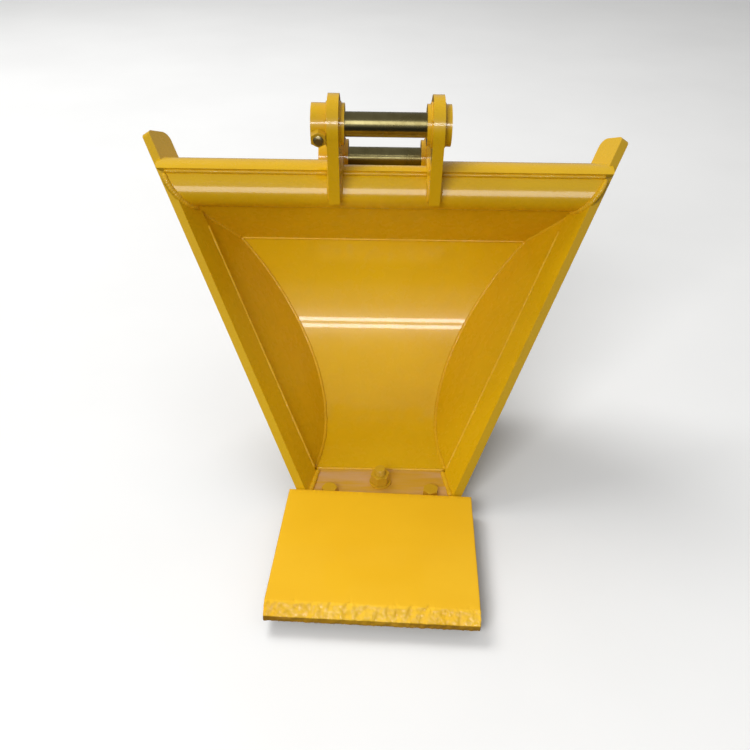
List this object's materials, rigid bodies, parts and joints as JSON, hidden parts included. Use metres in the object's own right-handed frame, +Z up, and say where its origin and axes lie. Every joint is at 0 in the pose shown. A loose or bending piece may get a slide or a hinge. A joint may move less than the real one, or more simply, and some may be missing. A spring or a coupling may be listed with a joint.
{
  "type": "excavator bucket",
  "caption": "V-shaped ditching bucket with splayed sides, a rolled back, a tubular top beam, a bolted flat blade, and two ears with bushed linkage pins.",
  "frame": {"origin": "on the arm pin's axis, midway between the ears", "axes": "+X along the pins to the right side seen from the mouth, +Y from the mouth to the back, +Z up, with the lip level"},
  "size_m": [0.6272, 0.5748, 0.467],
  "materials": {
    "yellow_paint": "glossy golden-yellow paint over steel plate",
    "blade_paint": "glossy golden-yellow paint over flame-cut steel plate",
    "plated_steel": "yellow-passivated zinc plating on turned steel"
  },
  "bodies": {
    "bucket": {"side_sheet_left": "yellow_paint", "side_sheet_right": "yellow_paint", "side_bar_left": "yellow_paint", "side_bar_right": "yellow_paint", "wrapper": "yellow_paint", "upper_plate": "yellow_paint", "top_skin": "yellow_paint", "torque_tube": "yellow_paint", "lip_plate": "yellow_paint", "blade": "blade_paint", "blade_tongue": "yellow_paint", "blade_bolt_middle": "yellow_paint", "blade_washer": "yellow_paint", "ear_left": "yellow_paint", "ear_right": "yellow_paint", "arm_bush_left": "yellow_paint", "arm_bush_right": "yellow_paint", "link_bush_left": "yellow_paint", "link_bush_right": "yellow_paint", "arm_pin": "plated_steel", "link_pin": "plated_steel"},
    "blade_bolt_left": {"blade_bolt_left": "yellow_paint"},
    "blade_bolt_right": {"blade_bolt_right": "yellow_paint"},
    "blade_nut": {"blade_nut": "yellow_paint"},
    "arm_pin_bolt": {"arm_pin_bolt": "plated_steel"},
    "arm_pin_nut": {"arm_pin_nut": "plated_steel"},
    "link_pin_bolt": {"link_pin_bolt": "plated_steel"},
    "link_pin_nut": {"link_pin_nut": "plated_steel"}
  },
  "joints": [
    {"name": "blade_nut_unscrews", "type": "slide", "parent": "bucket", "child": "blade_nut", "axis": [0, 0, 1], "range_m": [0, 0.025]},
    {"name": "blade_bolt_left_unscrews", "type": "slide", "parent": "bucket", "child": "blade_bolt_left", "axis": [0, 0, 1], "range_m": [0, 0.022]},
    {"name": "blade_bolt_right_unscrews", "type": "slide", "parent": "bucket", "child": "blade_bolt_right", "axis": [0, 0, 1], "range_m": [0, 0.022]},
    {"name": "arm_pin_nut_unscrews", "type": "slide", "parent": "bucket", "child": "arm_pin_nut", "axis": [0, -0.9659, -0.2588], "range_m": [0, 0.015]},
    {"name": "link_pin_nut_unscrews", "type": "slide", "parent": "bucket", "child": "link_pin_nut", "axis": [0, -0.9659, -0.2588], "range_m": [0, 0.015]},
    {"name": "arm_pin_bolt_draws_out", "type": "slide", "parent": "bucket", "child": "arm_pin_bolt", "axis": [0, 0.9659, 0.2588], "range_m": [0, 0.068]},
    {"name": "link_pin_bolt_draws_out", "type": "slide", "parent": "bucket", "child": "link_pin_bolt", "axis": [0, 0.9659, 0.2588], "range_m": [0, 0.068]}
  ]
}
